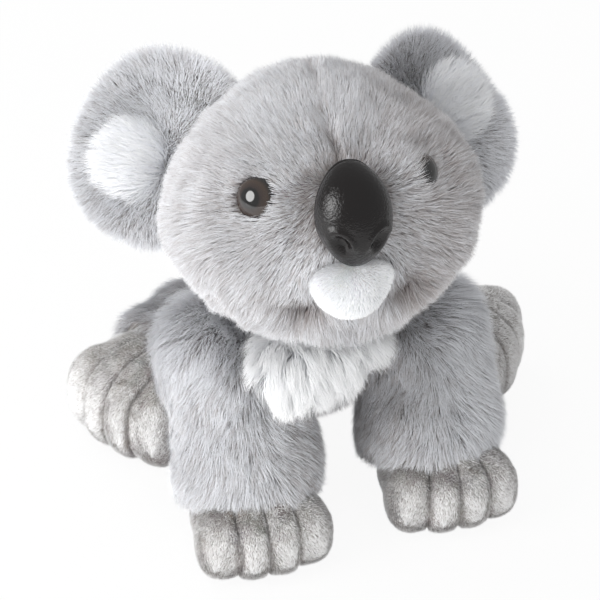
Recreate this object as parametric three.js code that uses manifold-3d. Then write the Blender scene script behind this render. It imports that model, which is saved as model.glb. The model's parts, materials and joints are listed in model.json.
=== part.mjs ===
// Plush koala on all fours. Millimetres, +Z up, the toy faces -Y and its right side is -X.
// Pile cloth covers are open bags round separate fillings. The head, the limbs and the ears are
// seated in rooms that are round about the point or the line where each of them bends.

import * as THREE from 'three';
import { mergeVertices } from 'three/addons/utils/BufferGeometryUtils.js';
import Module from 'manifold-3d';

const wasm = await Module();
wasm.setup();

const at = (x, y, z) => new THREE.Vector3(x, y, z);
const sides = { right: -1, left: 1 };

// Driving dimensions. An angle is in degrees, everything else that isn't a share or a count in mm.
const gap = 0.3;               // between pieces that touch
const jointGap = 0.4;          // round the neck and the ears' seams
const soleDepth = 0.5;         // how deep a form is pressed flat where it rests
const reach = 400;             // of a cutting plane, more than the toy's length
const longPile = 10;           // long pile cloth with its backing
const shortPile = 3;           // short pile cloth with its backing, and long pile pressed in a seat

const body = {
  spine: { x: [0, 0, 5, 6], y: [-30, 24, 80, 126], z: [88, 80, 52, 44] },
  halfWidths: [30, 39, 46, 43],
  halfDepths: [22, 31, 50, 42],
  fullness: 2.4,
};
const neck = { centre: { x: 0, y: 28, z: 97 }, radius: 22, nodAngles: [-14, 5] };
const head = {
  centre: { x: -6, y: 0, z: 151 },
  halfHeight: 63,
  halfWidths: [50, 69, 66, 54],
  halfDepths: [44, 61, 61, 50],
  lean: 3,                     // how far the crown lies behind the cheeks
  fullness: 2.1,
  pitchAngle: 24,              // face up
  turnAngle: 4,                // face to the toy's right
  tiltAngle: 2,                // its left ear up
  room: 5,                     // clear of the shoulders and the back
  sideRoom: 14,                // and beside the cheeks, for the turning head
};
const muzzle = { centre: { x: 0, y: -42, z: -12 }, halfWidth: 34, halfDepth: 24, halfHeight: 28 };
const chin = { centre: { x: 0, y: -61, z: -29.5 }, halfWidth: 21, halfDepth: 10, halfHeight: 14 };
const nose = {
  centre: { x: 0, y: -67, z: 3 },
  halfHeight: 20.8,
  halfWidths: [12, 15.5, 16, 12],
  halfDepths: [8, 12, 12, 8],
  fullness: 2.3,
  bend: 3,                     // its ends lie this far behind its middle
  shankRadius: 3.5,
  nostril: {
    across: 7.5, below: 11, ahead: 11.5, halfWidth: 3.2, halfHeight: 5, halfDepth: 3, slantAngle: 35,
  },
};
const eye = {
  place: { x: 38, y: -46, z: 12.5 },   // where its axis leaves the pile
  outwardAngle: 50,
  upwardAngle: 8,
  radius: 9,
  domeHeight: 6.5,
  flange: 1,
  sink: 6.5,                   // from the pile's tips down to the dome's edge
  dimple: { radius: 12, height: 4 },
  shankRadius: 2.5,
};
const washer = { radius: 8, thickness: 2, shankPast: 4 };
const ear = {
  seam: { x: 48, y: 18, z: 19 },   // middle of the seam on the head
  seamAngle: 31,               // how far the seam leans in at its top
  backAngle: 33,               // how far the ear lies back
  rootRadius: 6,
  halfSeam: 27,
  halfLength: 42,
  halfHeight: 45,
  halfThickness: 10,
  sunk: 24,                    // how much of the disc's length lies behind the seam
  room: 0.8,                   // between the head's pile and the ear at its fold limits
  foldAngles: [-18, 18],
  lining: { halfLength: 25, halfHeight: 24, halfThickness: 7, ahead: 6, outward: 5 },
};
const bib = {
  spine: { x: [-10, -13, -12], y: [-12, -31, -30], z: [96, 91, 74] },
  halfWidths: [22, 26, 12],
  halfDepths: [9, 9, 6],
  fullness: 2.2,
};
const foreleg = {
  joint: { x: 43, y: 0, z: 57 },
  radius: 33,
  sway: 1,                     // both joints lie this far to the toy's left
  step: 4,                     // and the left one this far behind the middle of the two
  spine: { x: [0, 0, 0, 0], y: [8, 0, -19, -27], z: [20, 0, -30, -52] },
  halfWidths: [24, 32, 37, 28],
  halfDepths: [24, 31, 33, 26],
  fullness: 3,
  across: at(1, 0, 0),
  wrist: { x: 0, y: -22, z: -30 },
  wristDirection: { x: 0, y: -0.35, z: -1 },
  hinge: at(1, 0, 0),
  paw: { ahead: { x: 1.5, y: -35 }, toesAngle: 0, halfWidth: 29, halfLength: 26, halfHeight: 18.5 },
};
const hindLeg = {
  joint: { x: 45, y: 84, z: 30 },
  radius: 29,
  sway: 7,
  step: 0,
  spine: { x: [-14, 0, 24, 45], y: [4, 0, -12, -27], z: [2, 0, -1, -2] },
  halfWidths: [20, 25, 27, 22],
  halfDepths: [20, 25, 25, 20],
  fullness: 3,
  across: at(0, 1, 0),
  wrist: { x: 22, y: -14, z: 0 },
  wristDirection: { x: 1, y: -0.55, z: 0 },
  hinge: at(0, 0, 1),
  paw: { ahead: { x: 32, y: -28 }, toesAngle: 58, halfWidth: 32, halfLength: 27, halfHeight: 25 },
};
const toe = {
  count: 4,
  pitchShare: 0.5,             // of the paw's half width, from toe to toe
  aheadShare: 0.6,             // of its half length
  setBackShare: 0.2,           // of its half length, the outer toes
  halfWidthShare: 0.4,
  halfLengthShare: 0.64,
  halfHeightShare: 0.9,
  fanAngle: 8,
};

// How finely each form is drawn. Even rings and sides in fours let a lobe reach its half sizes.
const fine = { rings: 10, sides: 20 };
const medium = { rings: 8, sides: 16 };
const coarse = { rings: 6, sides: 12 };
const small = { rings: 6, sides: 8 };
const domeSteps = 4;

const cloth = (color) => new THREE.MeshStandardMaterial({ color, roughness: 0.95, metalness: 0 });
const plastic = (color, roughness) => new THREE.MeshStandardMaterial({ color, roughness, metalness: 0 });
const materials = {
  greyPile: cloth(0xbebec1),
  shortPile: cloth(0xafacaa),
  whitePile: cloth(0xe8ecee),
  filling: cloth(0xf4f4f2),
  nosePlastic: plastic(0x2d2628, 0.35),
  eyePlastic: plastic(0x1a1110, 0.08),
  washerPlastic: plastic(0xe6e4dc, 0.5),
};

const radians = THREE.MathUtils.degToRad;
const moved = (place) => new THREE.Matrix4().makeTranslation(place.x, place.y, place.z);
const mirrored = ({ x, y, z = 0 }, side) => at(side * x, y, z);
const lineThrough = ({ x, y, z }) => x.map((across, i) => at(across, y[i], z[i]));

// A frame at a place whose +Z points along a direction.
function facing(place, direction) {
  const turn = new THREE.Quaternion().setFromUnitVectors(at(0, 0, 1), direction.clone().normalize());
  return new THREE.Matrix4().compose(place, turn, at(1, 1, 1));
}

// A closed geometry as a solid that can be joined and cut.
function solidOf(geometry, place = new THREE.Matrix4()) {
  const bare = geometry.clone().applyMatrix4(place);
  bare.deleteAttribute('normal');
  bare.deleteAttribute('uv');
  const merged = mergeVertices(bare);
  return new wasm.Manifold(new wasm.Mesh({
    numProp: 3,
    vertProperties: new Float32Array(merged.attributes.position.array),
    triVerts: new Uint32Array(merged.index.array),
  }));
}

function meshOf(name, solid, material) {
  const { vertProperties, triVerts } = solid.getMesh();
  const geometry = new THREE.BufferGeometry();
  geometry.setAttribute('position', new THREE.BufferAttribute(vertProperties, 3));
  geometry.setIndex(new THREE.BufferAttribute(triVerts, 1));
  geometry.computeVertexNormals();
  const mesh = new THREE.Mesh(geometry, material);
  mesh.name = name;
  return mesh;
}

// Moves every vertex of a closed form along its normal, outwards where the distance is positive.
function grown(geometry, distance) {
  geometry.computeVertexNormals();
  const { position, normal } = geometry.attributes;
  const point = at(0, 0, 0);
  const outward = at(0, 0, 0);
  for (let i = 0; i < position.count; i++) {
    outward.fromBufferAttribute(normal, i);
    point.fromBufferAttribute(position, i).addScaledVector(outward, distance);
    position.setXYZ(i, point.x, point.y, point.z);
  }
  return geometry;
}

// A stuffed form: oval rings along a curved spine that swell and taper between its stations and
// close at two rounded ends. A higher fullness makes blunter ends.
function stuffedForm({ spine, halfWidths, halfDepths, fullness, across = at(1, 0, 0) }, detail, grow = 0) {
  const line = new THREE.CatmullRomCurve3(spine);
  const girth = new THREE.SplineCurve(halfWidths.map((half, i) => new THREE.Vector2(half, halfDepths[i])));
  const points = [spine[0]];
  for (let ring = 1; ring < detail.rings; ring++) {
    const share = (1 - Math.cos(Math.PI * ring / detail.rings)) / 2;
    const roundness = (1 - Math.abs(2 * share - 1) ** fullness) ** (1 / fullness);
    const { x: halfWidth, y: halfDepth } = girth.getPoint(share).multiplyScalar(roundness);
    const along = line.getTangent(share);
    const sideways = across.clone().addScaledVector(along, -across.dot(along)).normalize();
    const behind = along.clone().cross(sideways);
    for (let step = 0; step < detail.sides; step++) {
      const angle = 2 * Math.PI * step / detail.sides;
      points.push(line.getPoint(share)
        .addScaledVector(sideways, halfWidth * Math.cos(angle))
        .addScaledVector(behind, halfDepth * Math.sin(angle)));
    }
  }
  points.push(spine[spine.length - 1]);

  const index = [];
  const last = points.length - 1;
  const lastRing = last - detail.sides;
  for (let step = 0; step < detail.sides; step++) {
    const next = (step + 1) % detail.sides;
    index.push(0, 1 + next, 1 + step);
    for (let near = 1; near < lastRing; near += detail.sides) {
      const far = near + detail.sides;
      index.push(near + step, near + next, far + step, near + next, far + next, far + step);
    }
    index.push(last, lastRing + step, lastRing + next);
  }
  const geometry = new THREE.BufferGeometry().setFromPoints(points).setIndex(index);
  return grown(geometry, grow);
}

// An oval lobe with three half sizes.
function lobe({ halfWidth, halfDepth, halfHeight }, detail, grow = 0) {
  const geometry = new THREE.SphereGeometry(1, detail.sides, detail.rings);
  return geometry.scale(halfWidth + grow, halfDepth + grow, halfHeight + grow);
}

// A ball has its poles on the axis that it turns about, and its room is larger by so much that its
// facets stay clear of the ball's edges at every angle.
const ball = (centre, radius, axis, detail) =>
  solidOf(new THREE.SphereGeometry(radius, detail.sides, detail.rings).rotateX(Math.PI / 2), facing(centre, axis));
const ballRoom = (centre, radius, axis, detail) =>
  ball(centre, radius / Math.cos(Math.PI / detail.sides), axis, detail);

// Everything that lies past a plane.
const past = (place, direction, offset = 0) =>
  solidOf(new THREE.BoxGeometry(reach, reach, reach).translate(0, 0, reach / 2 + offset), facing(place, direction));

// A turned piece: its profile runs from the axis round to the axis, and the axis points along +Z.
const turned = (profile, { sides: steps } = medium) =>
  new THREE.LatheGeometry(profile.map(([radius, height]) => new THREE.Vector2(radius, height)), steps)
    .rotateX(Math.PI / 2);
const rod = (radius, from, to, place) =>
  solidOf(turned([[0, from], [radius, from], [radius, to], [0, to]], coarse), place);

const koala = new THREE.Group();
const floor = past(at(0, 0, 0), at(0, 0, -1));

// A limb is a bag of long pile with a round end at the body, a paw of short pile sewn on at the
// wrist, and one filling that runs from the round end into the paw.
function limbPieces(side, limb) {
  const shape = { ...limb, spine: lineThrough(limb.spine).map((point) => mirrored(point, side)) };
  const form = (detail, grow) => solidOf(stuffedForm(shape, detail, grow));
  const centre = at(0, 0, 0);
  const inside = (grow) => form(coarse, grow).add(ball(centre, limb.radius + grow, limb.hinge, coarse));
  const pastWrist = (offset) => past(mirrored(limb.wrist, side), mirrored(limb.wristDirection, side), offset);
  const ground = past(at(0, 0, -limb.joint.z), at(0, 0, -1));

  const { halfWidth, halfLength, halfHeight } = limb.paw;
  const pawCentre = mirrored(limb.paw.ahead, side).setZ(halfHeight - soleDepth - limb.joint.z);
  const pawPlace = moved(pawCentre)
    .multiply(new THREE.Matrix4().makeRotationZ(side * radians(limb.paw.toesAngle)));
  const palm = (detail, grow) =>
    solidOf(lobe({ halfWidth, halfDepth: halfLength, halfHeight }, detail, grow), pawPlace);
  const toeSize = {
    halfWidth: toe.halfWidthShare * halfWidth,
    halfDepth: toe.halfLengthShare * halfLength,
    halfHeight: toe.halfHeightShare * halfHeight,
  };
  let paw = palm(coarse, 0);
  const middle = (toe.count - 1) / 2;
  for (let i = 0; i < toe.count; i++) {
    const fromMiddle = i - middle;
    const setBackShare = toe.setBackShare * Math.abs(fromMiddle) / middle;
    const toeCentre = at(fromMiddle * toe.pitchShare * halfWidth, (setBackShare - toe.aheadShare) * halfLength,
      toeSize.halfHeight - halfHeight);
    const toePlace = pawPlace.clone().multiply(moved(toeCentre))
      .multiply(new THREE.Matrix4().makeRotationZ(radians(fromMiddle * toe.fanAngle)));
    paw = paw.add(solidOf(lobe(toeSize, small), toePlace));
  }
  return {
    cover: form(medium, 0).add(ball(centre, limb.radius, limb.hinge, medium))
      .subtract(inside(-longPile)).subtract(pastWrist(0)).subtract(ground),
    paw: paw.intersect(pastWrist(gap))
      .subtract(inside(-longPile)).subtract(palm(coarse, -shortPile)).subtract(ground),
    filling: inside(-longPile - gap).add(palm(coarse, -shortPile - gap).intersect(pastWrist(gap))),
  };
}

// The head's pieces are made in its own frame, upright and looking along -Y, and its group holds
// the way it looks up, turns and tilts.
const headGroup = new THREE.Group();
headGroup.position.copy(head.centre);
headGroup.rotation.set(-radians(head.pitchAngle), -radians(head.tiltAngle), -radians(head.turnAngle), 'ZYX');
headGroup.updateMatrixWorld();
koala.add(headGroup);

const headShape = {
  ...head,
  spine: [at(0, -head.lean, -head.halfHeight), at(0, -head.lean, -head.halfHeight / 3),
    at(0, head.lean, head.halfHeight / 3), at(0, head.lean, head.halfHeight)],
};
const headForm = (detail, grow = 0, place = new THREE.Matrix4()) =>
  solidOf(stuffedForm(headShape, detail, grow), place)
    .add(solidOf(lobe(muzzle, coarse, grow), place.clone().multiply(moved(muzzle.centre))));

// The neck filling is a firm ball. The head rests and nods on it, and it turns in the body.
const neckCentre = mirrored(neck.centre, 1);
const neckInHead = headGroup.worldToLocal(neckCentre.clone());
const upright = at(0, 0, 1);
koala.add(meshOf('neck_filling', ball(neckCentre, neck.radius, upright, medium), materials.filling));

// Eyes and nose are held by a shank through the cover and a lock washer behind it.
const washerFrom = -longPile - washer.thickness;
const shankEnd = washerFrom - washer.shankPast;
const washerSolid = (shankRadius, place) => rod(washer.radius, washerFrom, -longPile, place)
  .subtract(rod(shankRadius + gap, shankEnd, 0, place));
const shankRoom = (shankRadius, place) => rod(shankRadius + gap, shankEnd - gap, 0, place)
  .add(rod(washer.radius + gap, washerFrom - gap, -longPile + gap, place));

const eyeBack = -eye.sink - eye.flange;
const dome = Array.from({ length: domeSteps }, (_, i) => (Math.PI / 2) * i / domeSteps)
  .map((angle) => [eye.radius * Math.cos(angle), eye.domeHeight * Math.sin(angle) - eye.sink]);
const eyeProfile = [[0, eyeBack], [eye.radius, eyeBack], ...dome, [0, eye.domeHeight - eye.sink]];
const eyeRoomProfile = [[0, eyeBack - gap], [eye.radius + gap, eyeBack - gap], [eye.radius + gap, -eye.sink],
  [eye.dimple.radius, eye.dimple.height], [0, eye.dimple.height]];
const eyeSolid = (place) => solidOf(turned(eyeProfile), place)
  .add(rod(eye.shankRadius, shankEnd, -eye.sink, place));
const eyeRoom = (place) => solidOf(turned(eyeRoomProfile), place).add(shankRoom(eye.shankRadius, place));

const noseShape = {
  ...nose,
  spine: [at(0, nose.bend, nose.halfHeight), at(0, 0, nose.halfHeight / 3), at(0, 0, -nose.halfHeight / 3),
    at(0, nose.bend, -nose.halfHeight)],
};
const noseForm = (grow) => solidOf(stuffedForm(noseShape, medium, grow), moved(nose.centre));
const noseFoot = at(0, nose.centre.y + nose.halfDepths[1], nose.centre.z);
const nosePlace = facing(noseFoot, at(0, -1, 0));
let noseSolid = noseForm(0).add(rod(nose.shankRadius, shankEnd, 0, nosePlace));
for (const side of Object.values(sides)) {
  const { nostril } = nose;
  const place = moved(at(side * nostril.across, nose.centre.y - nostril.ahead, nose.centre.z - nostril.below))
    .multiply(new THREE.Matrix4().makeRotationY(side * radians(nostril.slantAngle)));
  noseSolid = noseSolid.subtract(solidOf(lobe(nostril, coarse), place));
}
const noseRoom = noseForm(gap).add(shankRoom(nose.shankRadius, nosePlace));

const chinPad = solidOf(lobe(chin, medium), moved(chin.centre)).subtract(noseForm(gap));
const chinRoom = solidOf(lobe(chin, medium, gap), moved(chin.centre));

// An ear is a flat round pad with a hollow front for its white lining. Its edge at the head is a
// round bead along the seam, and it folds about the bead.
const earFrame = (side) => moved(mirrored(ear.seam, side))
  .multiply(new THREE.Matrix4().makeRotationY(-side * radians(ear.seamAngle)))
  .multiply(new THREE.Matrix4().makeRotationZ(side * radians(ear.backAngle)));
const bead = (grow, place) => solidOf(new THREE.CapsuleGeometry(ear.rootRadius + grow, 2 * ear.halfSeam,
  small.rings / 2, coarse.sides).rotateX(Math.PI / 2), place);
function earPieces(side) {
  const disc = { halfWidth: ear.halfLength, halfDepth: ear.halfThickness, halfHeight: ear.halfHeight };
  const outward = ear.halfLength - ear.sunk;
  const linedAt = at(side * (outward + ear.lining.outward), -ear.lining.ahead, 0);
  const lining = { ...ear.lining, halfWidth: ear.lining.halfLength, halfDepth: ear.lining.halfThickness };
  const inEar = (angle) => new THREE.Matrix4().makeRotationZ(radians(angle)).multiply(earFrame(side).invert());
  const headPath = ear.foldAngles.reduce((path, angle) => path.add(headForm(fine, ear.room, inEar(angle))),
    headForm(fine, ear.room, inEar(0)));
  return {
    pad: solidOf(lobe(disc, medium), moved(at(side * outward, 0, 0))).subtract(headPath).add(bead(0))
      .subtract(solidOf(lobe(lining, coarse, gap), moved(linedAt))),
    lining: solidOf(lobe(lining, coarse), moved(linedAt)).subtract(headPath),
  };
}

// The head cover is an open bag: the neck filling comes in at its neck opening.
const neckRoom = ballRoom(neckInHead, neck.radius + jointGap, upright, medium);
let headCover = headForm(fine).subtract(headForm(coarse, -longPile)).subtract(neckRoom).subtract(noseRoom)
  .subtract(chinRoom);
let headFilling = headForm(coarse, -longPile - gap).subtract(neckRoom).subtract(noseRoom).subtract(chinRoom);
for (const [sideName, side] of Object.entries(sides)) {
  const gaze = at(0, 0, 1).applyEuler(new THREE.Euler(radians(90 - eye.upwardAngle), 0, 0))
    .applyEuler(new THREE.Euler(0, 0, side * radians(eye.outwardAngle)));
  const eyePlace = facing(mirrored(eye.place, side), gaze);
  const room = eyeRoom(eyePlace).add(bead(jointGap, earFrame(side)));
  headCover = headCover.subtract(room);
  headFilling = headFilling.subtract(room);
  headGroup.add(meshOf(`${sideName}_eye`, eyeSolid(eyePlace), materials.eyePlastic));
  headGroup.add(meshOf(`${sideName}_eye_washer`, washerSolid(eye.shankRadius, eyePlace), materials.washerPlastic));
  const earGroup = new THREE.Group();
  earGroup.applyMatrix4(earFrame(side));
  headGroup.add(earGroup);
  const { pad, lining } = earPieces(side);
  earGroup.add(meshOf(`${sideName}_ear`, pad, materials.greyPile));
  earGroup.add(meshOf(`${sideName}_ear_lining`, lining, materials.whitePile));
}
headGroup.add(meshOf('head_cover', headCover, materials.greyPile));
headGroup.add(meshOf('head_filling', headFilling, materials.filling));
headGroup.add(meshOf('nose', noseSolid, materials.nosePlastic));
headGroup.add(meshOf('nose_washer', washerSolid(nose.shankRadius, nosePlace), materials.washerPlastic));
headGroup.add(meshOf('chin_pad', chinPad, materials.whitePile));

// The body is cut where the limbs, the neck filling and the moving head need their room.
const bodyShape = { ...body, spine: lineThrough(body.spine) };
const bibShape = { ...bib, spine: lineThrough(bib.spine) };
const bodyGeometry = stuffedForm(bodyShape, fine);
bodyGeometry.computeBoundingBox();
const bodyPlace = moved(at(0, 0, -soleDepth - bodyGeometry.boundingBox.min.z));
let bodyOutside = solidOf(bodyGeometry, bodyPlace);
let bodyInside = solidOf(stuffedForm(bodyShape, coarse, -longPile), bodyPlace);
let bodyFilling = solidOf(stuffedForm(bodyShape, coarse, -longPile - gap), bodyPlace);
let bibSolid = solidOf(stuffedForm(bibShape, coarse)).subtract(solidOf(stuffedForm(bodyShape, fine, gap), bodyPlace));
const bodyNeckRoom = ballRoom(neckCentre, neck.radius + jointGap, upright, medium);
function clearBody(room, roomInside, roomFilling) {
  bodyOutside = bodyOutside.subtract(room);
  bodyInside = bodyInside.subtract(roomInside);
  bodyFilling = bodyFilling.subtract(roomFilling);
  bibSolid = bibSolid.subtract(room);
}
const headRoom = (angle, grow) => {
  const nod = new THREE.Matrix4().makeRotationX(radians(angle));
  const place = moved(neckCentre).multiply(nod).multiply(moved(neckCentre.clone().negate()))
    .multiply(headGroup.matrixWorld);
  const size = {
    halfWidth: Math.max(...head.halfWidths) + head.sideRoom,
    halfDepth: Math.max(...head.halfDepths) + head.room,
    halfHeight: head.halfHeight + head.room,
  };
  return solidOf(lobe(size, medium, grow), place);
};
for (const angle of neck.nodAngles) {
  clearBody(headRoom(angle, 0), headRoom(angle, shortPile), headRoom(angle, shortPile + gap));
}
for (const [sideName, side] of Object.entries(sides)) {
  for (const [limbName, limb] of [['foreleg', foreleg], ['hind_leg', hindLeg]]) {
    const joint = mirrored(limb.joint, side).add(at(limb.sway, side * limb.step, 0));
    const room = (grow, detail) => ballRoom(joint, limb.radius + gap + grow, limb.hinge, detail);
    clearBody(room(0, medium), room(shortPile, coarse), room(shortPile + gap, coarse));
    const limbGroup = new THREE.Group();
    limbGroup.position.copy(joint);
    koala.add(limbGroup);
    const { cover, paw, filling } = limbPieces(side, limb);
    limbGroup.add(meshOf(`${sideName}_${limbName}_cover`, cover, materials.greyPile));
    limbGroup.add(meshOf(`${sideName}_${limbName}_paw`, paw, materials.shortPile));
    limbGroup.add(meshOf(`${sideName}_${limbName}_filling`, filling, materials.filling));
  }
}
const bodyCover = bodyOutside.subtract(bodyInside).subtract(bodyNeckRoom).subtract(floor);
koala.add(meshOf('body_cover', bodyCover, materials.greyPile));
koala.add(meshOf('body_filling', bodyFilling.subtract(bodyNeckRoom), materials.filling));
koala.add(meshOf('chest_bib', bibSolid, materials.whitePile));

// The origin lies under the middle of the toy, on the floor.
const middle = new THREE.Box3().setFromObject(koala, true).getCenter(at(0, 0, 0));
koala.position.set(-middle.x, -middle.y, 0);

export default koala;
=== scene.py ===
# A plush koala on all fours, about 21 cm tall: long grey pile on the head, body and legs, short
# pile on the paws, white pile in the ears, on the chin and on the chest, plastic eyes and nose.
# Shapes are drawn in millimetres, each in its own piece's frame, and placed in metres at the end.
import json
import math

import bmesh
import bpy
import numpy as np
from mathutils import Matrix, Vector
from mathutils.bvhtree import BVHTree

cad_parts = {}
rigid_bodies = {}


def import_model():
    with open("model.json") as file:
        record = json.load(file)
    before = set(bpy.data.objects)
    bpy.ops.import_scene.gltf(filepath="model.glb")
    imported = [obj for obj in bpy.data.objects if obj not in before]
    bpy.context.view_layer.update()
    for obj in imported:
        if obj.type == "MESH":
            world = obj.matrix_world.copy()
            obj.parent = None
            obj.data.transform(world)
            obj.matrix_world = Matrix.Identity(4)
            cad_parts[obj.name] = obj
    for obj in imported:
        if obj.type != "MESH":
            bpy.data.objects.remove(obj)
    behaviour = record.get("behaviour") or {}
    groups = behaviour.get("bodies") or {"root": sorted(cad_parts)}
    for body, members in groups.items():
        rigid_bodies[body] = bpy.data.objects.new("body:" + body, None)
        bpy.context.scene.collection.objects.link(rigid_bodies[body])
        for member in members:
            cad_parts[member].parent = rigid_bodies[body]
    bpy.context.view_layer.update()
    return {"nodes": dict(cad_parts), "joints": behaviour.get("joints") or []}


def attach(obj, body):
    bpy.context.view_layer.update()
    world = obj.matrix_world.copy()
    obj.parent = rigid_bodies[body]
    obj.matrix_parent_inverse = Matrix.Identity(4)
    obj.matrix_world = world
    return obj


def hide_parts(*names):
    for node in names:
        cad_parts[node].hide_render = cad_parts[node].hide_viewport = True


# Blender's own start-up objects aren't part of the toy.
for spare in list(bpy.data.objects):
    bpy.data.objects.remove(spare)
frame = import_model()

# The body is a pear-shaped bag of long-pile polyester plush, sewn from panels, turned and stuffed.
# Its backing shows only where the pile parts. The limbs are seated in dents at its corners.


def curve_point(stations, share):
    """A point on the smooth curve through the stations, at a share of the way along it."""
    stations = np.array(stations, float)
    before_the_end = 0.99999
    at = min(max(share, 0), before_the_end) * (len(stations) - 1)
    i, t = int(at), at - int(at)
    here, there = stations[i], stations[i + 1]
    before = stations[i - 1] if i else 2 * here - there
    after = stations[i + 2] if i + 2 < len(stations) else 2 * there - here
    bend = 2 * before - 5 * here + 4 * there - after
    twist = 3 * (here - there) + after - before
    return here + 0.5 * t * (there - before + t * (bend + t * twist))


def stuffed_form(spine, half_widths, half_depths, fullness, across=(1, 0, 0), rings=40, sides=64):
    """Points and faces of a closed form: oval rings along a bent spine, which swell and taper."""
    points = [np.array(spine[0], float)]
    angles = np.arange(sides) * 2 * math.pi / sides
    nudge = 0.002
    for ring in range(1, rings):
        share = (1 - math.cos(math.pi * ring / rings)) / 2
        roundness = (1 - abs(2 * share - 1) ** fullness) ** (1 / fullness)
        width = curve_point(half_widths, share) * roundness
        depth = curve_point(half_depths, share) * roundness
        along = curve_point(spine, share + nudge) - curve_point(spine, share - nudge)
        along /= np.linalg.norm(along)
        sideways = np.array(across, float) - np.dot(across, along) * along
        sideways /= np.linalg.norm(sideways)
        behind = np.cross(along, sideways)
        centre = curve_point(spine, share)
        points += [
            centre + sideways * width * math.cos(a) + behind * depth * math.sin(a) for a in angles
        ]
    points.append(np.array(spine[-1], float))
    last = len(points) - 1
    faces = []
    for k in range(sides):
        after = (k + 1) % sides
        faces.append((0, 1 + after, 1 + k))
        for ring in range(rings - 2):
            start = 1 + ring * sides
            faces.append((start + k, start + after, start + sides + after, start + sides + k))
        faces.append((last, last - sides + k, last - sides + after))
    return points, faces


def lobe(centre, half_sizes, blunt=1.0, turn=0.0):
    """Points and faces of an oval lobe. Below 1, blunt squares its shoulders; turn is about its upright."""
    ball = bmesh.new()
    bmesh.ops.create_icosphere(ball, subdivisions=5, radius=1)
    points = np.array([v.co for v in ball.verts])
    faces = [[v.index for v in f.verts] for f in ball.faces]
    ball.free()
    points = np.sign(points) * np.abs(points) ** blunt * np.array(half_sizes)
    c, s = math.cos(turn), math.sin(turn)
    points = points @ np.array([[c, s, 0], [-s, c, 0], [0, 0, 1]])
    return list(points + np.array(centre)), faces


def points_of(mesh):
    """A mesh's points as an array, one row each."""
    values = np.empty(len(mesh.vertices) * 3)
    mesh.vertices.foreach_get("co", values)
    return values.reshape(-1, 3)


def normals_of(mesh):
    """A mesh's point normals as an array, one row each."""
    values = np.empty(len(mesh.vertices) * 3)
    mesh.vertices.foreach_get("normal", values)
    return values.reshape(-1, 3)


def set_points(mesh, points):
    """Puts a mesh's points where the rows of an array say."""
    mesh.vertices.foreach_set("co", points.ravel())
    mesh.update()


def push(mesh, distances):
    """Moves every point along its normal, outwards where its distance is positive."""
    each = np.broadcast_to(distances, len(mesh.vertices))[:, None]
    set_points(mesh, points_of(mesh) + normals_of(mesh) * each)


def near(points, centre, radius):
    """1 at a centre, falling smoothly to 0 at about twice the radius away from it."""
    return np.exp(-(((points - np.array(centre)) / np.array(radius)) ** 2).sum(axis=1))


def step(values, start, end):
    """0 at start and 1 at end, smooth between them."""
    t = np.clip((values - start) / (end - start), 0, 1)
    return t * t * (3 - 2 * t)


def lumps(points, size):
    """The uneven packing of loose filling: soft rises and hollows about as wide as a size, from -1 to 1."""
    x, y, z = (points / size).T
    across = np.sin(2.1 * x + 1.3 * z) * np.cos(1.7 * z - 0.9 * y + 1)
    along = np.sin(1.9 * y + 1.1 * x + 2) * np.cos(2.3 * z + 0.7 * x)
    return (across + along) / 2


def unit(vectors):
    """Vectors brought to a length of 1."""
    return vectors / np.maximum(np.linalg.norm(vectors, axis=-1, keepdims=True), 1e-9)


def new_object(name, data):
    """An object that holds a mesh, a lamp or a camera, put in the scene."""
    made = bpy.data.objects.new(name, data)
    bpy.context.scene.collection.objects.link(made)
    return made


def sewn_skin(name, shells, voxel, relax):
    """Fuses closed shells into one even skin of cloth and relaxes it where they meet."""
    points, faces = [], []
    for shell_points, shell_faces in shells:
        faces += [[v + len(points) for v in face] for face in shell_faces]
        points += shell_points
    mesh = bpy.data.meshes.new(name)
    mesh.from_pydata(points, [], faces)
    skin = new_object(name, mesh)
    remesh = skin.modifiers.new("even weave", "REMESH")
    remesh.mode, remesh.voxel_size = "VOXEL", voxel
    smooth = skin.modifiers.new("stuffing", "SMOOTH")
    smooth.factor, smooth.iterations = 0.5, relax
    even = bpy.data.meshes.new_from_object(skin.evaluated_get(bpy.context.evaluated_depsgraph_get()))
    skin.modifiers.clear()
    skin.data = even
    even.shade_smooth()
    even.name = name
    return skin


def inside(points, skins):
    """How deep each point lies inside any of the skins, in metres; negative outside them."""
    search = 0.03
    depth = np.full(len(points), -1.0)
    for skin in skins:
        tree = BVHTree.FromPolygons(
            [v.co for v in skin.data.vertices], [p.vertices for p in skin.data.polygons]
        )
        for i, point in enumerate(points):
            found, normal, _, distance = tree.find_nearest(Vector(point), search)
            if found is not None:
                signed = -distance if (Vector(point) - found).dot(normal) > 0 else distance
                depth[i] = max(depth[i], signed)
    return depth


def add(tree, kind, settings=(), inputs=()):
    """Adds a node with its settings, and a value or a link for each of the inputs named."""
    node = tree.nodes.new(kind)
    for name, value in dict(settings).items():
        setattr(node, name, value)
    for name, value in dict(inputs).items():
        if isinstance(value, bpy.types.NodeSocket):
            tree.links.new(value, node.inputs[name])
        else:
            node.inputs[name].default_value = value
    return node


def linear(code):
    """An sRGB hex colour as linear RGBA."""
    parts = [int(code[i:i + 2], 16) / 255 for i in (0, 2, 4)]
    return (*(c / 12.92 if c <= 0.04045 else ((c + 0.055) / 1.055) ** 2.4 for c in parts), 1)


def new_material(title):
    """A material, its node tree and its shader."""
    material = bpy.data.materials.new(title)
    material.use_nodes = True
    return material, material.node_tree, material.node_tree.nodes["Principled BSDF"]


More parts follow.
